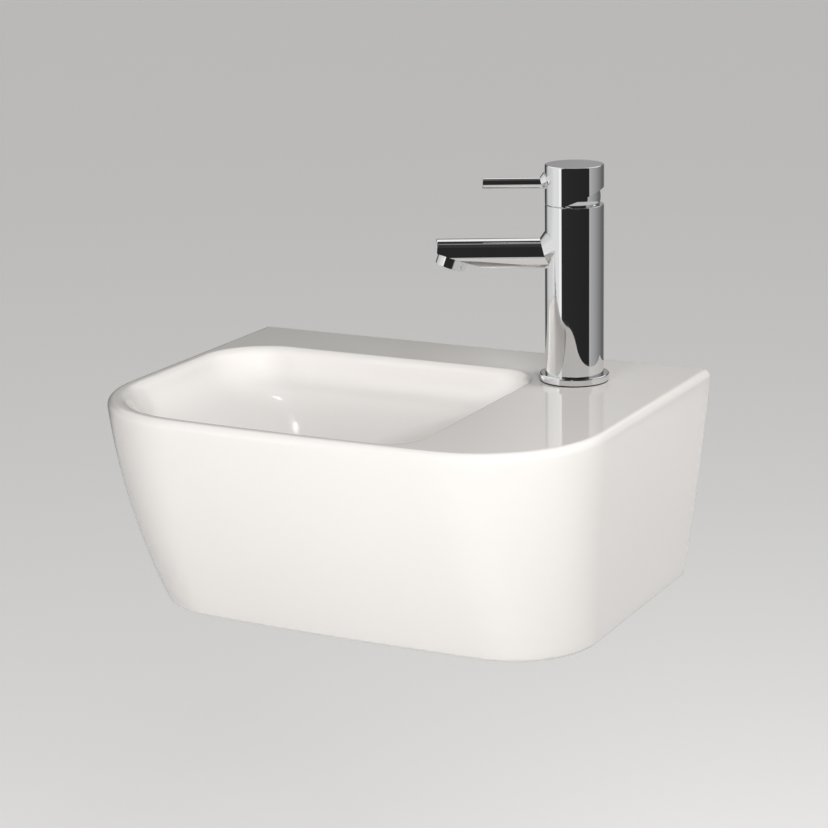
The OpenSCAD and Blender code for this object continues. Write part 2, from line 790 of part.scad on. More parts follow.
// Nozzle
module aerator_housing() {
    color(chrome) at_tap() at_nozzle() difference() {
        union() {
            translate([0, 0, -aerator_drop])
                cylinder(d1 = aerator_d - 2 * edge_break, d2 = aerator_d, h = edge_break);
            translate([0, 0, -aerator_drop + edge_break])
                cylinder(d = aerator_d, h = aerator_drop - edge_break);
            translate([0, 0, -edge_break]) cylinder(d = aerator_neck_d, h = aerator_neck + edge_break);
        }
        translate([0, 0, -aerator_drop + aerator_lip])
            cylinder(d = aerator_bore, h = aerator_drop + aerator_neck);
        translate([0, 0, -aerator_drop - past]) cylinder(d = aerator_mouth, h = aerator_drop);
    }
}

module aerator_insert() {
    h = aerator_drop + aerator_neck - aerator_lip - aerator_seal_t;
    color(plastic) at_tap() at_nozzle() translate([0, 0, -aerator_drop + aerator_lip]) difference() {
        cylinder(d = aerator_bore - 2 * fit, h = h);
        for (row = aerator_rings, k = [1 : row[1]]) rotate([0, 0, 360 * k / row[1]])
            translate([row[0], 0, -past]) cylinder(d = aerator_hole_d, h = h + 2 * past, $fn = 24);
    }
}

module aerator_seal() {
    color(rubber) at_tap() at_nozzle()
        tube(aerator_bore - 2 * fit, aerator_mouth - 1, aerator_seal_t, aerator_neck - aerator_seal_t);
}

// Cartridge, drawn from its seat upwards
module at_seat(z = 0) {
    at_tap() translate([0, 0, seat_z + z]) children();
}

module ports(h) {
    for (p = [[port_x, port_y], [port_x, -port_y], [mix_x, 0]])
        translate([p[0], p[1], -past]) cylinder(d = port_d - 1, h = h + 2 * past);
}

module cartridge_base() {
    color(plastic) at_seat(port_seal_t) difference() {
        cylinder(d = chamber_d - 2 * fit, h = base_t - port_seal_t);
        ports(base_t);
    }
}

module port_seals() {
    color(rubber) at_seat()
        for (p = [[port_x, port_y], [port_x, -port_y], [mix_x, 0]])
            translate([p[0], p[1], 0]) tube(port_d + 2 * port_seal_w, port_d, port_seal_t);
}

module fixed_disc() {
    color("White") at_seat(base_t) difference() {
        cylinder(d = fixed_disc_d, h = disc_t);
        ports(disc_t);
    }
}

module moving_disc() {
    color("Ivory") at_seat(base_t + disc_t) translate([disc_rest, 0, 0]) difference() {
        cylinder(d = moving_disc_d, h = disc_t);
        translate([disc_rest, 0, -past]) cylinder(d = pocket_d, h = past + disc_t / 2);
    }
}

module disc_carrier() {
    top = cart_depth + pivot_z - ball_arm;
    low = base_t + 2 * disc_t;
    color(plastic) at_seat(low) difference() {
        union() {
            translate([disc_rest, 0, 0]) cylinder(d = moving_disc_d, h = carrier_t);
            cylinder(d = 2 * (ball_r + socket_wall), h = top - low + ball_r - ball_neck);
        }
        translate([0, 0, top - low - ball_r - 1]) cylinder(r = ball_r + fit, h = 3 * ball_r);
    }
}

module cartridge_housing() {
    color(plastic) at_seat() difference() {
        union() {
            cylinder(d = cart_d, h = housing_shoulder);
            cylinder(d = housing_neck_d, h = housing_top);
        }
        translate([0, 0, -past]) cylinder(d = chamber_d, h = chamber_h + past);
        translate([0, 0, -past]) cylinder(d = bore_d, h = spindle_step + past);
        cylinder(d = spindle_neck_d + 2 * fit, h = housing_top + past);
    }
}

module tip_slot(z0, z1) {
    translate([-spindle_neck_d / 2 + slot_wall, -stem_w / 2 - fit, z0])
        cube([spindle_neck_d - 2 * slot_wall, stem_w + 2 * fit, z1 - z0]);
}

module spindle() {
    room = spindle_step - spindle_roof;
    color(plastic) at_seat() difference() {
        union() {
            translate([0, 0, spindle_floor])
                cylinder(d = spindle_d, h = spindle_step - fit - spindle_floor);
            translate([0, 0, spindle_floor]) cylinder(d = spindle_neck_d, h = spindle_top - spindle_floor);
        }
        translate([0, 0, spindle_floor - past])
            cylinder(d = spindle_d - 2 * spindle_wall, h = room - spindle_floor + past);
        tip_slot(room - past, spindle_top + past);
        translate([0, spindle_neck_d, cart_depth + pivot_z]) rotate([90, 0, 0])
            cylinder(d = pin_d, h = 2 * spindle_neck_d);
    }
}

module spindle_seal() {
    z = spindle_step - spindle_roof - seal_drop;
    color(rubber) at_seat(z) tube(bore_d - 2 * sliding_fit, spindle_d, spindle_seal_t);
}

module pivot_pin() {
    color(steel) at_seat(cart_depth + pivot_z) translate([0, spindle_neck_d / 2, 0]) rotate([90, 0, 0])
        cylinder(d = pin_d, h = spindle_neck_d);
}

module stem() {
    top = cap_ceiling - pivot_z + seam_gap;
    color(steel) at_seat(cart_depth + pivot_z) difference() {
        union() {
            translate([-stem_w / 2, -stem_w / 2, -stem_drop]) cube([stem_w, stem_w, top + stem_drop]);
            translate([0, 0, -ball_arm]) cylinder(r = ball_r - ball_neck, h = ball_arm);
            translate([0, 0, -ball_arm]) sphere(r = ball_r);
        }
        translate([0, stem_w, 0]) rotate([90, 0, 0]) cylinder(d = pin_d + 2 * sliding_fit, h = 2 * stem_w);
    }
}

module retaining_nut() {
    color(brass) at_tap() difference() {
        union() {
            translate([0, 0, seam_z - nut_depth + fit]) cylinder(d = nut_thread_d, h = nut_depth - 2 * fit);
            translate([0, 0, seam_z - nut_depth + fit]) cylinder(d = nut_outer_d, h = nut_depth + nut_rise);
        }
        translate([0, 0, seat_z]) cylinder(d = cart_d + 2 * fit, h = housing_shoulder);
        translate([0, 0, seat_z]) cylinder(d = housing_neck_d + 2 * fit, h = 2 * cart_depth);
    }
}

module shroud() {
    color(chrome) at_tap() difference() {
        intersection() {
            translate(pivot) sphere(r = shroud_r);
            translate([0, 0, seam_z]) cylinder(r = shroud_r + past, h = shroud_top);
        }
        translate([0, 0, seam_z - past]) cylinder(d = nut_outer_d + 2 * fit, h = nut_rise + past + fit);
        translate([0, 0, seam_z]) cylinder(d = shroud_opening, h = shroud_top + past);
    }
}

// Handle
module handle_cap() {
    low = seam_z + seam_gap;
    color(chrome) at_tap() difference() {
        union() {
            difference() {
                union() {
                    translate([0, 0, low]) cylinder(d = body_d, h = cap_h - edge_break);
                    translate([0, 0, low + cap_h - edge_break])
                        cylinder(d1 = body_d, d2 = body_d - 2 * edge_break, h = edge_break);
                }
                translate([0, 0, low - past]) cylinder(d = body_d - 2 * cap_wall, h = cap_ceiling + past);
                translate([cut_from_axis, -body_d, low]) rotate([0, cap_cut, 0])
                    translate([-2 * body_d, 0, -body_d]) cube([2 * body_d, 2 * body_d, body_d]);
            }
            translate([0, 0, low + cap_ceiling - boss_drop]) cylinder(d = boss_d, h = boss_drop + past);
            translate([0, 0, seam_z + lever_z]) rotate([0, 90, 0])
                cylinder(d = lever_boss_d, h = body_d / 2 - cap_wall / 2);
        }
        translate([-stem_w / 2 - fit, -stem_w / 2 - fit, low])
            cube([stem_w + 2 * fit, stem_w + 2 * fit, cap_ceiling]);
        translate([0, 0, seam_z + lever_z]) rotate([0, 90, 0])
            cylinder(d = lever_thread_d + 2 * sliding_fit, h = body_d);
    }
}

module pin_lever() {
    color(chrome) at_tap() translate([0, 0, seam_z + lever_z]) {
        rotate([0, 90, 0]) translate([0, 0, stem_w / 2 + fit]) cylinder(d = lever_thread_d, h = body_d / 2);
        difference() {
            union() {
                root_flare(lever_d, lever_flare);
                rotate([0, 90, 0]) cylinder(d = lever_d, h = lever_reach - edge_break);
            }
            translate([0, 0, -body_d]) cylinder(d = body_d, h = 2 * body_d);
            translate([-body_d, -body_d, -body_d]) cube([body_d, 2 * body_d, 2 * body_d]);
        }
        rotate([0, 90, 0]) translate([0, 0, lever_reach - edge_break])
            cylinder(d1 = lever_d, d2 = lever_d - 2 * edge_break, h = edge_break);
    }
}

basin_body();
hanger_bolts();
bolt_sleeves();
bolt_washers();
bolt_nuts();
waste_body();
waste_gasket();
waste_seal();
waste_washer();
waste_back_nut();
plug_cap();
plug_seal();
plug_stem();
latch_sleeve();
latch_spring();
tap_body();
inlet_block();
base_ring();
base_gasket();
fixing_stud();
clamp_gasket();
clamp_plate();
clamp_nut();
aerator_housing();
aerator_insert();
aerator_seal();
cartridge_base();
port_seals();
fixed_disc();
moving_disc();
disc_carrier();
cartridge_housing();
spindle();
spindle_seal();
pivot_pin();
stem();
retaining_nut();
shroud();
handle_cap();
pin_lever();
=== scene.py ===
# A wall-hung washbasin with its mixer tap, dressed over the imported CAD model. The ceramic and the
# chrome that shows are built here at the part's own sizes, with finer roundings. Every other CAD
# node keeps its shape and gets a procedural material.
from collections import namedtuple
import json
import math

import bpy
import bmesh
import numpy as np
from mathutils import Matrix, Vector


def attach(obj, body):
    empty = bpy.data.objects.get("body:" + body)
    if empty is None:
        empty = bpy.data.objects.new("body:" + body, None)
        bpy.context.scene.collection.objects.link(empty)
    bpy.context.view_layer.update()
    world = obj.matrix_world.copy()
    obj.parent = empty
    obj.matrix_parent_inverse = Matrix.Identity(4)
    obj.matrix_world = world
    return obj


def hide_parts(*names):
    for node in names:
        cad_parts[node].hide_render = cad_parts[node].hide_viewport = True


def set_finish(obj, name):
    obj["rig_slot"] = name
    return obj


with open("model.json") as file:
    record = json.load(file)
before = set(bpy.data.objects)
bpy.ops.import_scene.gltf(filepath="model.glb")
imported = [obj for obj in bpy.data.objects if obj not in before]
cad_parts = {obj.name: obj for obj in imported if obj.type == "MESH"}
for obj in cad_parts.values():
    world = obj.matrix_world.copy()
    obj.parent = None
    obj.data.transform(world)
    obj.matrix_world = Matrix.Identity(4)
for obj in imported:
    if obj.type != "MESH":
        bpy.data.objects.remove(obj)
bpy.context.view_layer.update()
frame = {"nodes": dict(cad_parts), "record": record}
NODES = frame["nodes"]
MM = 0.001

# Sizes in millimetres, as in the part's source: the ceramic outside
BASIN_W, BASIN_D, BASIN_H = 380.0, 290.0, 162.0
SIDE_LEAN, FRONT_LEAN = 20.0, 60.0
SIDE_CURVE, FRONT_CURVE = 0.3, 0.56
RIM_CORNER_R, FOOT_CORNER_R, FRONT_BOW = 92.0, 62.0, 8.0
RIM_ROUND, FOOT_ROUND = 6.0, 4.0
BACK_CORNER_R, INNER_CORNER_R = 1.5, 8.0
WALL_T, BACK_T, DECK_T = 11.0, 13.0, 14.0
# The bowl
BOWL_RIM, DECK_W, LEDGE_D, BOWL_DEPTH = 8.0, 105.0, 56.0, 53.0
SHELL_T, FLOOR_T = 11.0, 12.0
BOWL_FRONT_R, BOWL_LEFT_R, BOWL_TAP_R = 28.0, 50.0, 35.0
SIDE_EDGE, FRONT_EDGE, LEDGE_EDGE, DECK_EDGE = 10.0, 9.0, 7.0, 2.0
SIDE_FALL, FRONT_FALL, LEDGE_FALL, DECK_FALL = (math.radians(a) for a in (56, 74, 82, 90))
BOWL_WALL, KNEE_IN, KNEE_DOWN, UNDER_LEDGE, CROWN_GAP = 0.55, 0.25, 0.46, 3.0, 5.0
# Wall fixings and waste
FIXING_PITCH, FIXING_DROP, FIXING_HOLE_R = 200.0, 75.0, 8.0
FLANGE_R, FLANGE_T, GASKET_T, WASTE_HOLE_R = 31.5, 2.6, 1.2, 23.0
REBATE_T, REBATE_R = FLANGE_T + GASKET_T, FLANGE_R + 1.5
WASTE_R, WASTE_BORE_R, WASTE_LENGTH, NECK_R, NECK_LENGTH = 20.95, 18.5, 68.0, 22.5, 10.0
GROOVE_R, GROOVE_H, GROOVE_TOP = 20.0, 2.0, 30.8
BRIDGE_R, BRIDGE_W, BRIDGE_TOP, BRIDGE_T, HUB_R = 19.5, 4.0, 34.0, 4.0, 6.5
PLUG_R, PLUG_T, PLUG_ROOM_R, PLUG_SEAT, PLUG_TRAVEL = 20.5, 3.4, 20.7, 4.5, 8.0
PLUG_EDGE, PLUG_SLOPE_R, PLUG_SLOPE_H, PLUG_CROWN = 0.4, 12.0, 0.7, 1.0
# The tap
TAP_X, TAP_Y, TAP_HOLE_R, TAP_TURN = 110.0, -67.0, 17.5, 25.0
BODY_R, BODY_H, RING_R, RING_H, RING_TOP = 21.0, 128.5, 25.0, 4.8, 5.8
GASKET_TOP, FOOT_R, RING_BORE_R = 1.0, 18.1, 18.2
INSERT_R, INSERT_TOP, RECESS_DEPTH, SEAT_R, SEAT_DEPTH = 16.6, 14.0, 14.0, 14.5, 28.0
SPOUT_Z, SPOUT_R, SPOUT_REACH = 93.0, 11.0, 98.5
NOZZLE_CUT, NOZZLE_TILT, NOZZLE_BACK = 39.5, 19.0, 12.0
NOZZLE_R, NOZZLE_BORE_R, NOZZLE_ROOM_R, NOZZLE_MOUTH_R, NOZZLE_H = 10.75, 8.5, 7.5, 6.5, 8.0
NOZZLE_NECK_H, NOZZLE_LIP = 4.5, 1.5
CAP_H, CAP_WALL, CAP_CEILING, CAP_CUT, CAP_CUT_X, SEAM_GAP = 28.0, 1.6, 19.5, 22.0, 9.0, 0.5
BOSS_R, BOSS_H, SIDE_BOSS_R, STEM_HALF = 8.5, 5.5, 4.5, 4.0
LEVER_Z, LEVER_R, LEVER_REACH, LEVER_ROOT = 15.0, 4.0, 65.5, 10.0
LEVER_SCREW_R, PIN_HOLE_R = 3.0, 3.05
SPOUT_FLARE, LEVER_FLARE, FLARE_TILT, FLARE_LENGTH = 3.5, 3.5, 28.0, 0.65
PIVOT_Z, SHROUD_R, SHROUD_TOP = 5.5, 18.7, 10.0
SHROUD_BORE_R, SHROUD_FOOT_R, SHROUD_STEP = 13.3, 15.6, 5.1

# How far a cutting body goes past what it cuts, and how large it is where its size doesn't matter
PAST, FAR, WIDE = 5.0, 100.0, 60.0
# A straight strip kept beside each rounding, so that its shading ends there
STRIP, LIP = 0.04, 0.4
# The most that a rounding takes of the side next to it
SIDE_SHARE = 0.49
# Rings of points over each stretch of the ceramic
FOOT_STEPS, WALL_STEPS, RIM_STEPS, EDGE_STEPS = 6, 24, 8, 8
BOWL_STEPS, UNDER_STEPS, INNER_STEPS = 40, 16, 6
# Facets around a small, a middle and a large round piece
SMALL, MIDDLE, LARGE = 96, 192, 256

HALF_W = BASIN_W / 2
ARC_R = (HALF_W ** 2 + FRONT_BOW ** 2) / (2 * FRONT_BOW)
BOWL_LEFT, BOWL_RIGHT = -HALF_W + BOWL_RIM, HALF_W - DECK_W
BOWL_FRONT, BOWL_BACK = -BASIN_D + BOWL_RIM, -LEDGE_D
WASTE_X, WASTE_Y = (BOWL_LEFT + BOWL_RIGHT) / 2, (BOWL_FRONT + BOWL_BACK) / 2
BOWL_RUN = WASTE_X - REBATE_R - BOWL_LEFT


# Mesh helpers. Points are in millimetres and meshes in metres.
def mix(a, b, t):
    return a + (b - a) * t


def ease(t):
    return t * t * (3 - 2 * t)


def new_object(name, points, faces):
    mesh = bpy.data.meshes.new(name)
    mesh.from_pydata([tuple(c * MM for c in p) for p in points], [], faces)
    obj = bpy.data.objects.new(name, mesh)
    bpy.context.scene.collection.objects.link(obj)
    bm = bmesh.new()
    bm.from_mesh(mesh)
    bmesh.ops.recalc_face_normals(bm, faces=bm.faces)
    if bm.calc_volume(signed=True) < 0:
        bmesh.ops.reverse_faces(bm, faces=bm.faces)
    bm.to_mesh(mesh)
    bm.free()
    return obj


def smooth(obj, angle):
    obj.data.shade_smooth()
    obj.data.set_sharp_from_angle(angle=math.radians(angle))
    return obj


def combine(obj, other, operation):
    mod = obj.modifiers.new("join", "BOOLEAN")
    mod.operation = operation
    mod.solver = "EXACT"
    mod.object = other
    bpy.context.view_layer.update()
    graph = bpy.context.evaluated_depsgraph_get()
    mesh = bpy.data.meshes.new_from_object(obj.evaluated_get(graph))
    obj.modifiers.clear()
    old = obj.data
    obj.data = mesh
    mesh.name = obj.name
    bpy.data.meshes.remove(old)
    bpy.data.objects.remove(other)
    return obj


def move(obj, matrix):
    obj.data.transform(matrix)
    return obj


def place(x, y, z):
    return Matrix.Translation((x * MM, y * MM, z * MM))


def turn(degrees, axis):
    return Matrix.Rotation(math.radians(degrees), 4, axis)


def round_corner(before, at, after, radius, steps):
    """The points that round the corner at, between its neighbours, with a strip on each side."""
    p0, p1, p2 = (np.array(p, float) for p in (before, at, after))
    d1, d2 = (p0 - p1), (p2 - p1)
    l1, l2 = np.linalg.norm(d1), np.linalg.norm(d2)
    d1, d2 = d1 / l1, d2 / l2
    half = math.acos(max(-1.0, min(1.0, float(d1 @ d2)))) / 2
    reach = min(radius / math.tan(half), SIDE_SHARE * l1, SIDE_SHARE * l2)
    radius = reach * math.tan(half)
    centre = p1 + (d1 + d2) / np.linalg.norm(d1 + d2) * radius / math.sin(half)
    a, b = p1 + d1 * reach - centre, p1 + d2 * reach - centre
    total = math.acos(max(-1.0, min(1.0, float(a @ b) / radius ** 2)))
    out = []
    for k in range(steps + 1):
        t = k / steps
        w = (math.sin((1 - t) * total) * a + math.sin(t * total) * b) / math.sin(total)
        out.append(tuple(centre + w))
    reach += STRIP
    if reach < SIDE_SHARE * l1:
        out.insert(0, tuple(p1 + d1 * reach))
    if reach < SIDE_SHARE * l2:
        out.append(tuple(p1 + d2 * reach))
    return out


def profile_points(corners, closed, steps):
    """Corners are (radius from the axis, height, rounding)."""
    out, n = [], len(corners)
    for i, (r, z, rounding) in enumerate(corners):
        inner = closed or 0 < i < n - 1
        if rounding > 0 and inner:
            after = corners[(i + 1) % n][:2]
            out += round_corner(corners[i - 1][:2], (r, z), after, rounding, steps)
        else:
            out.append((r, z))
    return out


def revolve(name, corners, closed=False, segments=160, steps=5):
    """A closed solid of revolution about Z: an open profile starts and ends on the axis."""
    outline = profile_points(corners, closed, steps)
    points, rings = [], []
    for r, z in outline:
        if r < 1e-6:
            rings.append([len(points)])
            points.append((0.0, 0.0, z))
        else:
            rings.append(list(range(len(points), len(points) + segments)))
            for s in range(segments):
                a = 2 * math.pi * s / segments
                points.append((r * math.cos(a), r * math.sin(a), z))
    faces = []
    pairs = list(zip(rings, rings[1:])) + ([(rings[-1], rings[0])] if closed else [])
    for low, high in pairs:
        for s in range(segments):
            t = (s + 1) % segments
            if len(low) == 1 and len(high) == 1:
                continue
            if len(low) == 1:
                faces.append((low[0], high[t], high[s]))
            elif len(high) == 1:
                faces.append((low[s], low[t], high[0]))
            else:
                faces.append((low[s], low[t], high[t], high[s]))
    return new_object(name, points, faces)


def rod(name, radius, length, rounding=0.0, segments=SMALL):
    corners = [(0, 0, 0), (radius, 0, rounding), (radius, length, rounding), (0, length, 0)]
    return revolve(name, corners, segments=segments)


def block(name, low, high):
    (x0, y0, z0), (x1, y1, z1) = low, high
    points = [(x, y, z) for z in (z0, z1) for y in (y0, y1) for x in (x0, x1)]
    faces = [(0, 2, 3, 1), (4, 5, 7, 6), (0, 1, 5, 4), (2, 6, 7, 3), (0, 4, 6, 2), (1, 3, 7, 5)]
    return new_object(name, points, faces)


def finish_piece(obj, body, slot, node):
    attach(obj, body)
    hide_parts(node)
    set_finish(obj, slot)
    return obj


# Ceramic
# One level outline: where its sides run, and the radii of its corners, the first two in front
Edges = namedtuple("Edges", "left right back middle front left_r right_r back_left_r back_right_r")


class Outline:
    """Points of the basin's outlines, clockwise from the back right, as in the part's source.

    The counts are of steps along a back corner, a side, a front corner, the front and the back.
    """

    def __init__(self, nb, ns, nc, nf, nk):
        self.nb, self.ns, self.nc, self.nf, self.nk = nb, ns, nc, nf, nk
        self.side = nb + ns + nc
        self.n = 2 * self.side + nf + nk

    @staticmethod
    def corner(o, x, r):
        """Where the corner's centre lies, and at which angle it meets the bowed front."""
        y = o.front + ARC_R - math.sqrt((ARC_R - r) ** 2 - (x - o.middle) ** 2)
        return y, math.atan2(y - o.front - ARC_R, x - o.middle)

    @staticmethod
    def around(x, y, r, a):
        return x + r * math.cos(a), y + r * math.sin(a)

    def right(self, o, i):
        nb, ns, nc = self.nb, self.ns, self.nc
        x = o.right - o.right_r
        y, end = self.corner(o, x, o.right_r)
        if i <= nb:
            r = o.back_right_r
            return self.around(o.right - r, o.back - r, r, mix(math.pi / 2, 0, i / nb))
        if i <= nb + ns:
            return o.right, mix(o.back - o.back_right_r, y, (i - nb) / ns)
        return self.around(x, y, o.right_r, mix(0, end, (i - nb - ns) / nc))

    def left(self, o, i):
        nb, ns, nc = self.nb, self.ns, self.nc
        x = o.left + o.left_r
        y, end = self.corner(o, x, o.left_r)
        if end > 0:
            end -= 2 * math.pi
        if i <= nc:
            return self.around(x, y, o.left_r, mix(end, -math.pi, i / nc))
        if i <= nc + ns:
            return o.left, mix(y, o.back - o.back_left_r, (i - nc) / ns)
        r, t = o.back_left_r, (i - nc - ns) / nb
        return self.around(o.left + r, o.back - r, r, mix(math.pi, math.pi / 2, t))

    def front(self, o, i):
        right = self.corner(o, o.right - o.right_r, o.right_r)[1]
        left = self.corner(o, o.left + o.left_r, o.left_r)[1]
        return self.around(o.middle, o.front + ARC_R, ARC_R, mix(right, left, i / self.nf))

    def point(self, o, i):
        side, nf = self.side, self.nf
        if i <= side:
            return self.right(o, i)
        if i < side + nf:
            return self.front(o, i - side)
        if i <= 2 * side + nf:
            return self.left(o, i - side - nf)
        t = (i - 2 * side - nf) / self.nk
        return mix(o.left + o.back_left_r, o.right - o.back_right_r, t), o.back

    def ring(self, o, z):
        return [(*self.point(o, i), z) for i in range(self.n)]

    def blend(self, i, deck, front, left, ledge):
        """A value that changes smoothly round the bowl, from side to side."""
        nb, ns, nc, nf, side = self.nb, self.ns, self.nc, self.nf, self.side
        if i <= nb:
            return mix(ledge, deck, ease(i / nb))
        if i <= nb + ns:
            return deck
        if i <= side:
            return mix(deck, front, ease((i - nb - ns) / nc))
        if i <= side + nf:
            return front
        if i <= side + nf + nc:
            return mix(front, left, ease((i - side - nf) / nc))
        if i <= side + nf + nc + ns:
            return left
        if i <= 2 * side + nf:
            return mix(left, ledge, ease((i - side - nf - nc - ns) / nb))
        return ledge

    def edge(self, i):
        return self.blend(i, DECK_EDGE, FRONT_EDGE, SIDE_EDGE, LEDGE_EDGE)

    def fall(self, i):
        return self.blend(i, DECK_FALL, FRONT_FALL, SIDE_FALL, LEDGE_FALL)


def lean(total, curve, t):
    """How far a wall has leaned in, at the share t of its way down."""
    return total * ((1 - curve) * t + curve * t * t)


def shell_outline(z, e, back, back_r):
    """The outer wall at height z, brought in by e."""
    t = -z / BASIN_H
    s = lean(SIDE_LEAN, SIDE_CURVE, t) + e
    r = max(mix(RIM_CORNER_R, FOOT_CORNER_R, t) - e, INNER_CORNER_R)
    front = -BASIN_D + lean(FRONT_LEAN, FRONT_CURVE, t) + e
    return Edges(-HALF_W + s, HALF_W - s, back, 0.0, front, r, r, back_r, back_r)


def bowl_outline(e, s, g):
    """The bowl with its edge rounded by the share e, s of the way to the waste, widened by g."""
    return Edges(
        mix(BOWL_LEFT + e * SIDE_EDGE, WASTE_X - REBATE_R, s) - g,
        mix(BOWL_RIGHT - e * DECK_EDGE, WASTE_X + REBATE_R, s) + g,
        mix(BOWL_BACK - e * LEDGE_EDGE, WASTE_Y + REBATE_R, s) + g,
        mix(0.0, WASTE_X, s),
        mix(BOWL_FRONT + e * FRONT_EDGE, WASTE_Y - REBATE_R, s) - g,
        mix(RIM_CORNER_R - BOWL_RIM - e * FRONT_EDGE, REBATE_R, s) + g,
        mix(BOWL_FRONT_R - e * DECK_EDGE, REBATE_R, s) + g,
        mix(BOWL_LEFT_R - e * LEDGE_EDGE, REBATE_R, s) + g,
        mix(BOWL_TAP_R - e * DECK_EDGE, REBATE_R, s) + g,
    )


def circle_outline(r):
    return Edges(WASTE_X - r, WASTE_X + r, WASTE_Y + r, WASTE_X, WASTE_Y - r, r, r, r, r)


def basin_rings(shape):
    """Closed rings of points over the whole casting: up outside, down the bowl, back underneath."""
    n = shape.n
    quarter = math.pi / 2

    def edge_point(i, t):
        a = t * shape.fall(i)
        x, y = shape.point(bowl_outline(math.sin(a), 0, 0), i)
        return x, y, -shape.edge(i) * (1 - math.cos(a))

    def bowl_in(i, u):
        wall_in = BOWL_WALL * BOWL_DEPTH / BOWL_RUN / math.tan(shape.fall(i))
        return 3 * (1 - u) ** 2 * u * wall_in + 3 * (1 - u) * u * u * KNEE_IN + u ** 3

    def bowl_down(u):
        return 3 * (1 - u) ** 2 * u * BOWL_WALL + 3 * (1 - u) * u * u * KNEE_DOWN + u ** 3

    def bowl_point(i, u, g):
        a = shape.fall(i)
        x, y = shape.point(bowl_outline(math.sin(a), bowl_in(i, u), g), i)
        return x, y, -mix(shape.edge(i) * (1 - math.cos(a)), BOWL_DEPTH, bowl_down(u))

    def under_point(i, u):
        upright = (1 - u) ** 3
        x, y, z = bowl_point(i, u, mix(UNDER_LEDGE, SHELL_T, upright))
        return x, y, z - SHELL_T * (1 - upright) - (FLOOR_T + REBATE_T - SHELL_T) * u

    def inner_point(i, z):
        return (*shape.point(shell_outline(z, WALL_T, -BACK_T, INNER_CORNER_R), i), z)

    def is_free(i, t):
        """Whether the bowl's underside is still clear of the outer wall and the deck."""
        u = under_point(i, t)
        v = inner_point(i, u[2])
        w = shape.point(circle_outline(1), i)
        room = (v[0] - u[0]) * (v[0] - w[0]) + (v[1] - u[1]) * (v[1] - w[1])
        return u[2] < -DECK_T and room > CROWN_GAP * math.hypot(v[0] - w[0], v[1] - w[1])

    def meeting(i):
        """Where the bowl's underside meets the outer wall."""
        low, high = 0.0, 1.0
        for _ in range(20):
            middle = (low + high) / 2
            if is_free(i, middle):
                high = middle
            else:
                low = middle
        return high

    def outer(z, e):
        return shape.ring(shell_outline(z, e, 0, BACK_CORNER_R), z)

    low = -BASIN_H + FOOT_ROUND
    rings = [shape.ring(shell_outline(-BASIN_H, WALL_T, -BACK_T, INNER_CORNER_R), -BASIN_H)]
    for k in range(FOOT_STEPS + 1):
        a = quarter * (1 - k / FOOT_STEPS)
        rings.append(outer(low - FOOT_ROUND * math.sin(a), FOOT_ROUND * (1 - math.cos(a))))
    for k in range(1, WALL_STEPS + 1):
        rings.append(outer(mix(low, -RIM_ROUND, k / WALL_STEPS), 0))
    for k in range(1, RIM_STEPS + 1):
        a = quarter * k / RIM_STEPS
        rings.append(outer(-RIM_ROUND + RIM_ROUND * math.sin(a), RIM_ROUND * (1 - math.cos(a))))
    rings.append(shape.ring(shell_outline(0, RIM_ROUND + LIP, -LIP, BACK_CORNER_R), 0.0))
    rings.append(shape.ring(bowl_outline(0, 0, LIP), 0.0))
    for k in range(EDGE_STEPS + 1):
        rings.append([edge_point(i, k / EDGE_STEPS) for i in range(n)])
    for k in range(1, BOWL_STEPS + 1):
        rings.append([bowl_point(i, k / BOWL_STEPS, 0) for i in range(n)])
    waste_z = -BOWL_DEPTH - REBATE_T
    rings.append(shape.ring(circle_outline(REBATE_R), waste_z))
    rings.append(shape.ring(circle_outline(WASTE_HOLE_R), waste_z))
    rings.append(shape.ring(circle_outline(WASTE_HOLE_R), waste_z - FLOOR_T))
    joins = [meeting(i) for i in range(n)]
    for k in range(UNDER_STEPS + 1):
        rings.append([under_point(i, mix(1, joins[i], k / UNDER_STEPS)) for i in range(n)])
    ends = [under_point(i, joins[i])[2] for i in range(n)]
    for k in range(INNER_STEPS):
        rings.append([inner_point(i, mix(ends[i], -BASIN_H, k / INNER_STEPS)) for i in range(n)])
    return rings


def make_basin():
    shape = Outline(nb=14, ns=12, nc=30, nf=28, nk=24)
    rings = basin_rings(shape)
    n, m = shape.n, len(rings)
    points = [(p[0], p[1], p[2] + FIXING_DROP) for r in rings for p in r]
    faces = []
    for j in range(m):
        k = (j + 1) % m
        for i in range(n):
            t = (i + 1) % n
            faces.append((j * n + i, j * n + t, k * n + t, k * n + i))
    obj = new_object("basin_glaze", points, faces)
    hole = rod("tap_hole", TAP_HOLE_R, DECK_T + 2 * PAST)
    combine(obj, move(hole, place(TAP_X, TAP_Y, FIXING_DROP - DECK_T - PAST)), "DIFFERENCE")
    for side in (-1, 1):
        hole = rod("wall_hole", FIXING_HOLE_R, BACK_T + 2 * PAST)
        move(hole, place(side * FIXING_PITCH / 2, PAST, 0) @ turn(90, "X"))
        combine(obj, hole, "DIFFERENCE")
    return smooth(obj, 40)


# Tap
AT_TAP = place(TAP_X, TAP_Y, FIXING_DROP) @ turn(180 + TAP_TURN, "Z")
NOZZLE_RISE = (NOZZLE_CUT - NOZZLE_BACK) * math.tan(math.radians(NOZZLE_TILT))
AT_NOZZLE = (place(SPOUT_REACH - NOZZLE_BACK, 0, SPOUT_Z - SPOUT_R + NOZZLE_RISE)
             @ turn(-NOZZLE_TILT, "Y"))
AT_WASTE = place(WASTE_X, WASTE_Y, FIXING_DROP - BOWL_DEPTH)


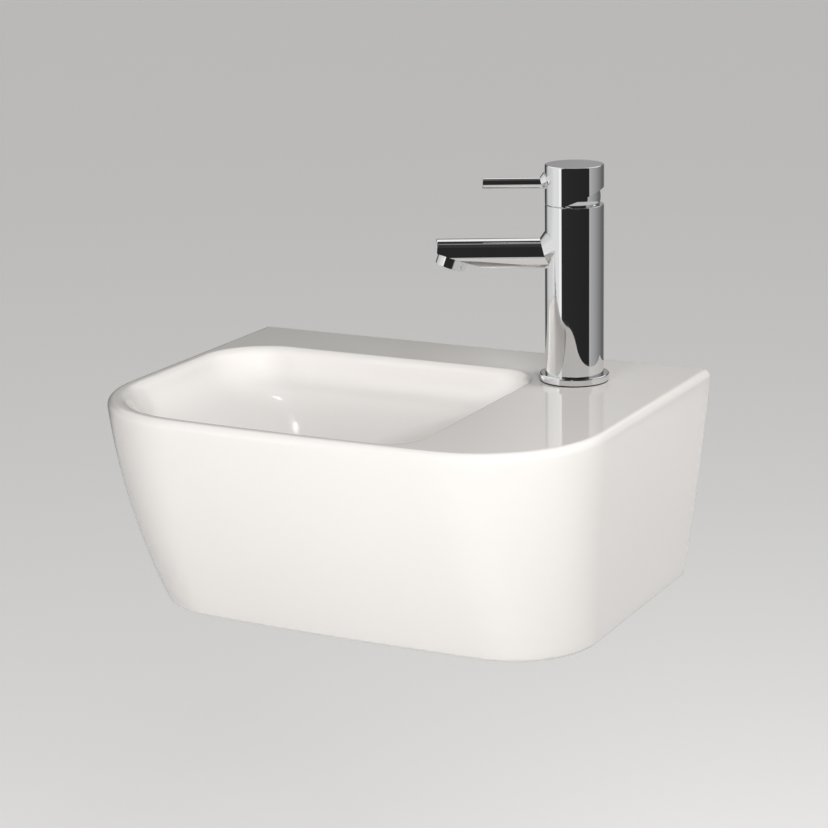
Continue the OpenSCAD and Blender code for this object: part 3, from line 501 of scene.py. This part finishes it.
def root_flare(name, radius, reach):
    """The lower swelling where a round arm of this radius leaves the body, reach beyond it."""
    tilt, d = math.radians(FLARE_TILT), 2 * radius
    back = d * math.sin(tilt) - d * (1 - math.cos(tilt)) / math.tan(2 * tilt)
    h = FLARE_LENGTH * d
    corners = [(0, 0, 0), (radius, 0, 0), (radius + h * math.tan(tilt), h, 0), (0, h, 0)]
    flare = move(revolve(name, corners, segments=SMALL),
                 place(BODY_R + reach - back, 0, -radius) @ turn(FLARE_TILT, "Y")
                 @ place(0, 0, radius) @ turn(-90, "Y"))
    below = block("below", (-FAR, -WIDE, -WIDE), (FAR, WIDE, 0.02 - radius))
    return combine(flare, below, "DIFFERENCE")


def make_tap():
    body = revolve("tap_shell", [
        (0, GASKET_TOP, 0), (FOOT_R, GASKET_TOP, 0), (FOOT_R, RING_TOP, 0),
        (BODY_R, RING_TOP, 0.3), (BODY_R, BODY_H, 0.5), (0, BODY_H, 0)], segments=LARGE)
    spout = rod("spout", SPOUT_R, SPOUT_REACH, 1.1, segments=MIDDLE)
    move(spout, place(0, 0, SPOUT_Z) @ turn(90, "Y"))
    wedge = block("wedge", (0, -WIDE, -WIDE), (FAR, WIDE, 0))
    move(wedge, place(SPOUT_REACH - NOZZLE_CUT, 0, SPOUT_Z - SPOUT_R) @ turn(-NOZZLE_TILT, "Y"))
    combine(spout, wedge, "DIFFERENCE")
    combine(spout, move(root_flare("flare", SPOUT_R, SPOUT_FLARE), place(0, 0, SPOUT_Z)), "UNION")
    combine(body, spout, "UNION")
    cutters = [
        move(rod("bore", NOZZLE_BORE_R + 0.1, 6), AT_NOZZLE @ place(0, 0, -1)),
        move(rod("foot", INSERT_R, INSERT_TOP + 2), place(0, 0, -2)),
        move(rod("seat", SEAT_R, SEAT_DEPTH + 1), place(0, 0, BODY_H - SEAT_DEPTH)),
        move(rod("recess", INSERT_R, RECESS_DEPTH + 1), place(0, 0, BODY_H - RECESS_DEPTH)),
    ]
    for cutter in cutters:
        combine(body, cutter, "DIFFERENCE")
    return smooth(move(body, AT_TAP), 20)


def make_cap():
    low = BODY_H + SEAM_GAP
    bore_r, ceiling = BODY_R - CAP_WALL, low + CAP_CEILING
    cap = revolve("cap_skin", [
        (0, ceiling, 0), (bore_r, ceiling, 0.5), (bore_r, low, 0.2),
        (BODY_R, low, 0.3), (BODY_R, low + CAP_H, 0.8), (0, low + CAP_H, 0)], segments=LARGE)
    wedge = block("wedge", (-FAR, -WIDE, -WIDE), (0, WIDE, 0))
    combine(cap, move(wedge, place(CAP_CUT_X, 0, low) @ turn(CAP_CUT, "Y")), "DIFFERENCE")
    boss = move(rod("boss", BOSS_R, BOSS_H + 0.5), place(0, 0, ceiling - BOSS_H))
    combine(cap, boss, "UNION")
    at_lever = place(0, 0, BODY_H + LEVER_Z) @ turn(90, "Y")
    combine(cap, move(rod("side_boss", SIDE_BOSS_R, BODY_R - CAP_WALL / 2), at_lever), "UNION")
    socket = block("socket", (-STEM_HALF, -STEM_HALF, FAR), (STEM_HALF, STEM_HALF, ceiling))
    combine(cap, socket, "DIFFERENCE")
    combine(cap, move(rod("cross", PIN_HOLE_R, BODY_R + PAST), at_lever), "DIFFERENCE")
    return smooth(move(cap, AT_TAP), 20)


def make_lever():
    lever = rod("lever_skin", LEVER_R, LEVER_REACH - LEVER_ROOT, 0.9)
    move(lever, place(LEVER_ROOT, 0, 0) @ turn(90, "Y"))
    combine(lever, root_flare("flare", LEVER_R, LEVER_FLARE), "UNION")
    core = move(rod("core", BODY_R, WIDE, segments=LARGE), place(0, 0, -WIDE / 2))
    combine(lever, core, "DIFFERENCE")
    screw = rod("screw", LEVER_SCREW_R, BODY_R - STEM_HALF)
    combine(lever, move(screw, place(STEM_HALF, 0, 0) @ turn(90, "Y")), "UNION")
    return smooth(move(lever, AT_TAP @ place(0, 0, BODY_H + LEVER_Z)), 20)


def make_shroud():
    """The ball-shaped skirt round the pivot, cut off at the body's top and at its own."""
    steps = 14
    a0, a1 = math.asin(-PIVOT_Z / SHROUD_R), math.asin((SHROUD_TOP - PIVOT_Z) / SHROUD_R)
    angles = [mix(a0, a1, k / steps) for k in range(steps + 1)]
    arc = [(SHROUD_R * math.cos(a), BODY_H + PIVOT_Z + SHROUD_R * math.sin(a), 0) for a in angles]
    inner = [(SHROUD_BORE_R, BODY_H + SHROUD_TOP, 0.3), (SHROUD_BORE_R, BODY_H + SHROUD_STEP, 0),
             (SHROUD_FOOT_R, BODY_H + SHROUD_STEP, 0), (SHROUD_FOOT_R, BODY_H, 0)]
    shroud = revolve("shroud_skin", arc + inner, closed=True, segments=MIDDLE)
    return smooth(move(shroud, AT_TAP), 30)


def make_ring():
    top = GASKET_TOP + RING_H
    ring = revolve("ring_skin", [
        (RING_BORE_R, GASKET_TOP, 0.15), (RING_R, GASKET_TOP, 0.25), (RING_R, top, 0.9),
        (RING_BORE_R, top, 0.15)], closed=True, segments=LARGE, steps=6)
    return smooth(move(ring, AT_TAP), 30)


def make_nozzle():
    lip = NOZZLE_LIP - NOZZLE_H
    nozzle = revolve("nozzle_skin", [
        (NOZZLE_MOUTH_R, -NOZZLE_H, 0.4), (NOZZLE_R, -NOZZLE_H, 0.7),
        (NOZZLE_R, 0, 0.15), (NOZZLE_BORE_R, 0, 0),
        (NOZZLE_BORE_R, NOZZLE_NECK_H, 0.3), (NOZZLE_ROOM_R, NOZZLE_NECK_H, 0),
        (NOZZLE_ROOM_R, lip, 0), (NOZZLE_MOUTH_R, lip, 0)], closed=True)
    return smooth(move(nozzle, AT_TAP @ AT_NOZZLE), 30)


# Waste
def make_plug():
    plug = revolve("plug_skin", [
        (0, -PLUG_T, 0), (PLUG_R, -PLUG_T, 0.3), (PLUG_R, -PLUG_EDGE, 1.2),
        (PLUG_SLOPE_R, PLUG_SLOPE_H, 12), (0, PLUG_CROWN, 0)], segments=MIDDLE, steps=6)
    return smooth(move(plug, AT_WASTE @ place(0, 0, PLUG_TRAVEL)), 30)


def make_waste():
    groove_low = -GROOVE_TOP - GROOVE_H
    bridge_low = -BRIDGE_TOP - BRIDGE_T
    waste = revolve("waste_skin", [
        (WASTE_BORE_R, -WASTE_LENGTH, 0.3), (WASTE_R, -WASTE_LENGTH, 0.5),
        (WASTE_R, groove_low, 0), (GROOVE_R, groove_low, 0), (GROOVE_R, -GROOVE_TOP, 0),
        (WASTE_R, -GROOVE_TOP, 0), (WASTE_R, -NECK_LENGTH, 0), (NECK_R, -NECK_LENGTH, 0.3),
        (NECK_R, -FLANGE_T, 0), (FLANGE_R, -FLANGE_T, 0.3), (FLANGE_R, 0, 1.6),
        (PLUG_ROOM_R, 0, 0.6), (PLUG_ROOM_R, -PLUG_SEAT, 0.2), (WASTE_BORE_R, -PLUG_SEAT, 0.5)],
        closed=True, segments=MIDDLE)
    for a in (0, 60, 120):
        bar = block("bar", (-BRIDGE_R, -BRIDGE_W / 2, bridge_low),
                    (BRIDGE_R, BRIDGE_W / 2, -BRIDGE_TOP))
        combine(waste, move(bar, turn(a, "Z")), "UNION")
    combine(waste, move(rod("hub", HUB_R, BRIDGE_T), place(0, 0, bridge_low)), "UNION")
    pin_hole = rod("pin_hole", PIN_HOLE_R, BRIDGE_T + 4)
    combine(waste, move(pin_hole, place(0, 0, bridge_low - 2)), "DIFFERENCE")
    return smooth(move(waste, AT_WASTE), 30)


# Materials. Every texture is noise in the object's own coordinates, in metres.
def shader(name):
    mat = bpy.data.materials.new(name)
    mat.use_nodes = True
    tree = mat.node_tree
    return mat, tree, tree.nodes["Principled BSDF"]


def noise(tree, scale, detail, rough=0.5):
    where = tree.nodes.new("ShaderNodeTexCoord")
    node = tree.nodes.new("ShaderNodeTexNoise")
    node.inputs["Scale"].default_value = scale
    node.inputs["Detail"].default_value = detail
    node.inputs["Roughness"].default_value = rough
    tree.links.new(where.outputs["Object"], node.inputs["Vector"])
    return node.outputs["Fac"]


def ramp(tree, value, low, high, a, b):
    """Goes from a to b while the value goes from low to high."""
    node = tree.nodes.new("ShaderNodeMapRange")
    node.inputs["From Min"].default_value = low
    node.inputs["From Max"].default_value = high
    node.inputs["To Min"].default_value = a
    node.inputs["To Max"].default_value = b
    tree.links.new(value, node.inputs["Value"])
    return node.outputs["Result"]


def blend_colour(tree, factor, a, b):
    node = tree.nodes.new("ShaderNodeMix")
    node.data_type = "RGBA"
    sockets = [s for s in node.inputs if s.type == "RGBA"]
    for socket, value in zip(sockets, (a, b)):
        if isinstance(value, tuple):
            socket.default_value = (*value, 1.0)
        else:
            tree.links.new(value, socket)
    tree.links.new(factor, node.inputs["Factor"])
    return next(s for s in node.outputs if s.type == "RGBA")


def bump(tree, bsdf, height, distance, strength):
    node = tree.nodes.new("ShaderNodeBump")
    node.inputs["Strength"].default_value = strength
    node.inputs["Distance"].default_value = distance
    tree.links.new(height, node.inputs["Height"])
    tree.links.new(node.outputs["Normal"], bsdf.inputs["Normal"])


def math_node(tree, operation, a, b=None):
    node = tree.nodes.new("ShaderNodeMath")
    node.operation = operation
    for socket, value in zip(node.inputs, (a, b)):
        if value is None:
            continue
        if isinstance(value, (int, float)):
            socket.default_value = value
        else:
            tree.links.new(value, socket)
    return node.outputs[0]


# Where glaze gives way to bare clay: along Y towards the wall, and along Z towards the foot
BARE_BACK = (-0.0022, -0.0008)
BARE_FOOT = (-0.0855, -0.0862)
GLAZE_TONES = (0.872, 0.84, 0.808), (0.888, 0.856, 0.824)
CLAY_TONES = (0.66, 0.64, 0.6), (0.74, 0.72, 0.68)
CHROME_TONES = (0.83, 0.835, 0.84), (0.86, 0.862, 0.865)
CLAY_ROUGHNESS = 0.65


def make_ceramic():
    """Warm white glaze, and bare clay on the wall side and under the foot."""
    mat, tree, bsdf = shader("glaze")
    where = tree.nodes.new("ShaderNodeTexCoord")
    parts = tree.nodes.new("ShaderNodeSeparateXYZ")
    tree.links.new(where.outputs["Object"], parts.inputs["Vector"])
    back = ramp(tree, parts.outputs["Y"], *BARE_BACK, 0.0, 1.0)
    low = ramp(tree, parts.outputs["Z"], *BARE_FOOT, 0.0, 1.0)
    bare = math_node(tree, "MAXIMUM", back, low)
    tone = blend_colour(tree, noise(tree, 7.0, 3.0), *GLAZE_TONES)
    clay = blend_colour(tree, noise(tree, 60.0, 6.0), *CLAY_TONES)
    tree.links.new(blend_colour(tree, bare, tone, clay), bsdf.inputs["Base Color"])
    gloss = ramp(tree, noise(tree, 30.0, 4.0), 0.3, 0.7, 0.05, 0.085)
    rough = tree.nodes.new("ShaderNodeMix")
    tree.links.new(bare, rough.inputs["Factor"])
    tree.links.new(gloss, rough.inputs["A"])
    rough.inputs["B"].default_value = CLAY_ROUGHNESS
    tree.links.new(rough.outputs["Result"], bsdf.inputs["Roughness"])
    bsdf.inputs["IOR"].default_value = 1.52
    bump(tree, bsdf, noise(tree, 22.0, 2.0), 0.0006, 0.05)
    return mat


def make_chrome():
    mat, tree, bsdf = shader("polished_chrome")
    tone = blend_colour(tree, noise(tree, 40.0, 3.0), *CHROME_TONES)
    tree.links.new(tone, bsdf.inputs["Base Color"])
    bsdf.inputs["Metallic"].default_value = 1.0
    rough = ramp(tree, noise(tree, 160.0, 5.0, 0.6), 0.3, 0.75, 0.02, 0.05)
    tree.links.new(rough, bsdf.inputs["Roughness"])
    return mat


def make_plain(name, dark, light, rough, scale, metallic=0.0, grain=0.0):
    """Two close tones, a roughness that wanders between two values, and a fine grain."""
    mat, tree, bsdf = shader(name)
    tone = blend_colour(tree, noise(tree, scale, 4.0), dark, light)
    tree.links.new(tone, bsdf.inputs["Base Color"])
    bsdf.inputs["Metallic"].default_value = metallic
    wander = ramp(tree, noise(tree, scale * 3, 5.0), 0.3, 0.7, *rough)
    tree.links.new(wander, bsdf.inputs["Roughness"])
    if grain:
        bump(tree, bsdf, noise(tree, scale * 8, 4.0), 0.0002, grain)
    return mat


MATERIALS = {
    "ceramic": make_ceramic(),
    "chrome": make_chrome(),
    "zinc_steel": make_plain(
        "zinc_plate", (0.46, 0.48, 0.5), (0.6, 0.61, 0.62), (0.25, 0.4), 120.0, 1.0, 0.1),
    "raw_brass": make_plain(
        "turned_brass", (0.55, 0.4, 0.16), (0.68, 0.51, 0.24), (0.2, 0.38), 90.0, 1.0, 0.1),
    "black_rubber": make_plain(
        "seal_rubber", (0.012, 0.012, 0.012), (0.03, 0.03, 0.03), (0.55, 0.75), 200.0, grain=0.3),
    "white_plastic": make_plain(
        "moulded_white", (0.72, 0.72, 0.7), (0.78, 0.78, 0.76), (0.35, 0.5), 90.0, grain=0.15),
    "grey_plastic": make_plain(
        "moulded_grey", (0.16, 0.17, 0.18), (0.22, 0.23, 0.24), (0.35, 0.5), 90.0, grain=0.15),
    "disc_ceramic": make_plain(
        "lapped_disc", (0.68, 0.68, 0.66), (0.76, 0.76, 0.74), (0.2, 0.3), 150.0),
}


def dress(obj, slot):
    obj.data.materials.clear()
    obj.data.materials.append(MATERIALS[slot])


SLOTS = {s["node"]: s["material_slot"] for s in frame["record"]["subparts"]}
pieces = [
    finish_piece(make_basin(), "basin", "ceramic", "basin_body"),
    finish_piece(make_tap(), "basin", "chrome", "tap_body"),
    finish_piece(make_ring(), "basin", "chrome", "base_ring"),
    finish_piece(make_nozzle(), "basin", "chrome", "aerator_housing"),
    finish_piece(make_shroud(), "basin", "chrome", "shroud"),
    finish_piece(make_cap(), "handle", "chrome", "handle_cap"),
    finish_piece(make_lever(), "handle", "chrome", "pin_lever"),
    finish_piece(make_waste(), "basin", "chrome", "waste_body"),
    finish_piece(make_plug(), "plug", "chrome", "plug_cap"),
]
for piece in pieces:
    dress(piece, piece["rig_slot"])
for node, obj in NODES.items():
    dress(obj, SLOTS[node])
    if not obj.hide_render:
        smooth(obj, 30)


# Camera, at the photograph's angle, as fitted to the basin's outline. Angles are in degrees.
CAMERA_YAW, CAMERA_PITCH, CAMERA_ROLL = -27.370, -14.631, -1.029
CAMERA_AT = (0.79642, -1.64642, 0.49986)
FOCAL_PX, PHOTO_PX, SENSOR_MM = 2446.36, 828, 36.0


def add_camera():
    yaw, pitch, roll = (math.radians(a) for a in (CAMERA_YAW, CAMERA_PITCH, CAMERA_ROLL))
    level = math.cos(pitch)
    ahead = Vector((math.sin(yaw) * level, math.cos(yaw) * level, math.sin(pitch)))
    right = Vector((math.cos(yaw), -math.sin(yaw), 0))
    up = right.cross(ahead)
    right, up = (right * math.cos(roll) + up * math.sin(roll),
                 up * math.cos(roll) - right * math.sin(roll))
    data = bpy.data.cameras.new("camera")
    data.sensor_width = SENSOR_MM
    data.lens = FOCAL_PX / PHOTO_PX * SENSOR_MM
    data.clip_start, data.clip_end = 0.05, 60.0
    cam = bpy.data.objects.new("camera", data)
    bpy.context.scene.collection.objects.link(cam)
    turned = Matrix((right, up, -ahead)).transposed().to_4x4()
    cam.matrix_world = Matrix.Translation(CAMERA_AT) @ turned
    bpy.context.scene.camera = cam


def add_lamp(name, place_at, aim, size, power, glossy=False, tall=None):
    """A round lamp, or with tall a lying oval one. Only a glossy lamp is mirrored."""
    data = bpy.data.lights.new(name, "AREA")
    data.shape = "ELLIPSE" if tall else "DISK"
    data.size = size
    if tall:
        data.size_y = tall
    data.energy = power
    lamp = bpy.data.objects.new(name, data)
    bpy.context.scene.collection.objects.link(lamp)
    lamp.location = place_at
    lamp.rotation_mode = "QUATERNION"
    lamp.rotation_quaternion = (Vector(aim) - Vector(place_at)).to_track_quat("-Z", "Y")
    lamp.visible_glossy = glossy
    lamp.visible_camera = False


# Half the floor's width and its height, in metres, and its glow
FLOOR_HALF, FLOOR_Z, FLOOR_GLOW = 30.0, -0.62, 0.42


def add_floor():
    """A pale floor below the basin, which glows a little for the camera alone."""
    mesh = bpy.data.meshes.new("floor")
    s, z = FLOOR_HALF, FLOOR_Z
    mesh.from_pydata([(-s, -s, z), (s, -s, z), (s, s, z), (-s, s, z)], [], [(0, 1, 2, 3)])
    floor = bpy.data.objects.new("floor", mesh)
    bpy.context.scene.collection.objects.link(floor)
    mat, tree, bsdf = shader("pale_floor")
    bsdf.inputs["Base Color"].default_value = (0.74, 0.735, 0.725, 1.0)
    bsdf.inputs["Roughness"].default_value = 0.9
    bsdf.inputs["Specular IOR Level"].default_value = 0.1
    light = tree.nodes.new("ShaderNodeLightPath")
    glow = tree.nodes.new("ShaderNodeEmission")
    glow.inputs["Color"].default_value = (1.0, 0.99, 0.975, 1.0)
    strength = ramp(tree, light.outputs["Is Camera Ray"], 0.0, 1.0, 0.0, FLOOR_GLOW)
    tree.links.new(strength, glow.inputs["Strength"])
    both = tree.nodes.new("ShaderNodeAddShader")
    tree.links.new(bsdf.outputs["BSDF"], both.inputs[0])
    tree.links.new(glow.outputs["Emission"], both.inputs[1])
    tree.links.new(both.outputs["Shader"], tree.nodes["Material Output"].inputs["Surface"])
    mesh.materials.append(mat)
    floor.visible_glossy = False


def step(tree, value, low, high):
    """Goes smoothly from 0 to 1 while the value goes from low to high."""
    node = tree.nodes.new("ShaderNodeMapRange")
    node.interpolation_type = "SMOOTHSTEP"
    node.inputs["From Min"].default_value = low
    node.inputs["From Max"].default_value = high
    tree.links.new(value, node.inputs["Value"])
    return node.outputs["Result"]


# How bright the studio is around the horizon, by the angle in degrees from the camera's side,
# counted to the right
AROUND = [
    (-180, 0.08), (-164, 0.12), (-157, 0.05), (-147, 0.05), (-139, 0.3), (-132, 0.56),
    (-122, 0.67), (-106, 0.69), (-98, 0.74), (-90, 0.82), (-66, 0.82), (-64.5, 1.05),
    (-56.5, 1.05), (-55, 0.026), (56, 0.02), (57.5, 0.5), (66, 0.42), (73, 0.4), (89, 0.33),
    (108, 0.24), (124, 0.17), (134, 0.13), (160, 0.15), (169, 0.25), (174, 0.27), (175.6, 0.34),
    (176.8, 0.38), (178, 0.15), (180, 0.08)]
# The tone that lights matt surfaces, and the one that the camera sees past the floor
DIFFUSE_TONE, SEEN_TONE = 0.075, 0.74


def add_world():
    """The studio as gloss sees it: dark in front, bright at the left, grey right and behind."""
    world = bpy.data.worlds.new("studio")
    bpy.context.scene.world = world
    world.use_nodes = True
    tree = world.node_tree
    back = tree.nodes["Background"]
    where = tree.nodes.new("ShaderNodeTexCoord")
    parts = tree.nodes.new("ShaderNodeSeparateXYZ")
    tree.links.new(where.outputs["Generated"], parts.inputs["Vector"])
    x, y, z = parts.outputs
    yaw = math.radians(-CAMERA_YAW)
    ahead = math_node(tree, "ADD", math_node(tree, "MULTIPLY", x, math.sin(yaw)),
                      math_node(tree, "MULTIPLY", y, -math.cos(yaw)))
    across = math_node(tree, "ADD", math_node(tree, "MULTIPLY", x, math.cos(yaw)),
                       math_node(tree, "MULTIPLY", y, math.sin(yaw)))
    angle = math_node(tree, "MULTIPLY", math_node(tree, "ARCTAN2", across, ahead), 180 / math.pi)
    height = math_node(tree, "MULTIPLY", math_node(tree, "ARCSINE", z), 180 / math.pi)

    def mix_tone(mask, a, b):
        node = tree.nodes.new("ShaderNodeMix")
        tree.links.new(mask, node.inputs["Factor"])
        for socket, value in zip((node.inputs["A"], node.inputs["B"]), (a, b)):
            if isinstance(value, float):
                socket.default_value = value
            else:
                tree.links.new(value, socket)
        return node.outputs["Result"]

    def window(value, low, high, soft):
        """1 between low and high, in degrees, with soft ends, and 0 elsewhere."""
        past = step(tree, value, high - soft, high + soft)
        return math_node(tree, "MULTIPLY", step(tree, value, low - soft, low + soft),
                         math_node(tree, "SUBTRACT", 1.0, past))

    around = tree.nodes.new("ShaderNodeValToRGB")
    turned = math_node(tree, "DIVIDE", math_node(tree, "ADD", angle, 180.0), 360.0)
    tree.links.new(turned, around.inputs["Fac"])
    stops = around.color_ramp.elements
    while len(stops) > 1:
        stops.remove(stops[-1])
    for k, (at, value) in enumerate(AROUND):
        stop = stops[0] if k == 0 else stops.new((at + 180) / 360)
        stop.position = (at + 180) / 360
        stop.color = (value, value, value, 1.0)
    tone = math_node(tree, "MULTIPLY", around.outputs["Color"], 1.0)
    behind = math_node(tree, "SUBTRACT", 1.0, window(angle, -100, 100, 6))
    # A dark ceiling, a bright band high up behind the basin, a grey zenith and a pale floor
    tone = mix_tone(window(height, 60, 91, 2), tone, 0.04)
    high_band = math_node(tree, "MULTIPLY", behind, window(height, 25, 59, 2))
    tone = mix_tone(high_band, tone, 1.0)
    tone = mix_tone(window(height, 86, 91, 1), tone, 0.3)
    tone = mix_tone(window(height, -91, -17, 2), tone, 0.55)
    light = tree.nodes.new("ShaderNodeLightPath")
    tone = mix_tone(light.outputs["Is Glossy Ray"], DIFFUSE_TONE, tone)
    tone = mix_tone(light.outputs["Is Camera Ray"], tone, SEEN_TONE)
    grey = tree.nodes.new("ShaderNodeCombineColor")
    for socket in grey.inputs[:3]:
        tree.links.new(tone, socket)
    tree.links.new(grey.outputs["Color"], back.inputs["Color"])
    back.inputs["Strength"].default_value = 1.0


add_camera()
add_floor()
add_world()
# Soft lamps, which light the object and are not mirrored
MIDDLE_OF_BASIN = (0.0, -0.15, 0.0)
add_lamp("front", (0.0, -2.082, 0.518), MIDDLE_OF_BASIN, 1.0, 19.2)
add_lamp("key", (1.113, -1.477, 1.0), MIDDLE_OF_BASIN, 1.0, 19.0)
add_lamp("right_top", (1.44, 0.374, 1.286), MIDDLE_OF_BASIN, 1.0, 19.0)
add_lamp("below", (0.1, -0.3, -0.6), (0.1, -0.3, 0.0), 2.0, 1.8)
# Weak small lamps, for the small highlights in the glaze and the chrome
add_lamp("spark", (1.15, -1.25, 1.75), (0, -0.15, 0.05), 0.05, 1.2, glossy=True)
add_lamp("dot", (0.125, -0.677, 1.944), (-0.141, -0.071, 0.056), 0.045, 0.3, glossy=True)
add_lamp("streak", (-0.729, 1.111, 1.471), (-0.093, -0.123, 0.031), 0.11, 0.06,
         glossy=True, tall=0.01)

bpy.context.scene.view_settings.view_transform = "Standard"
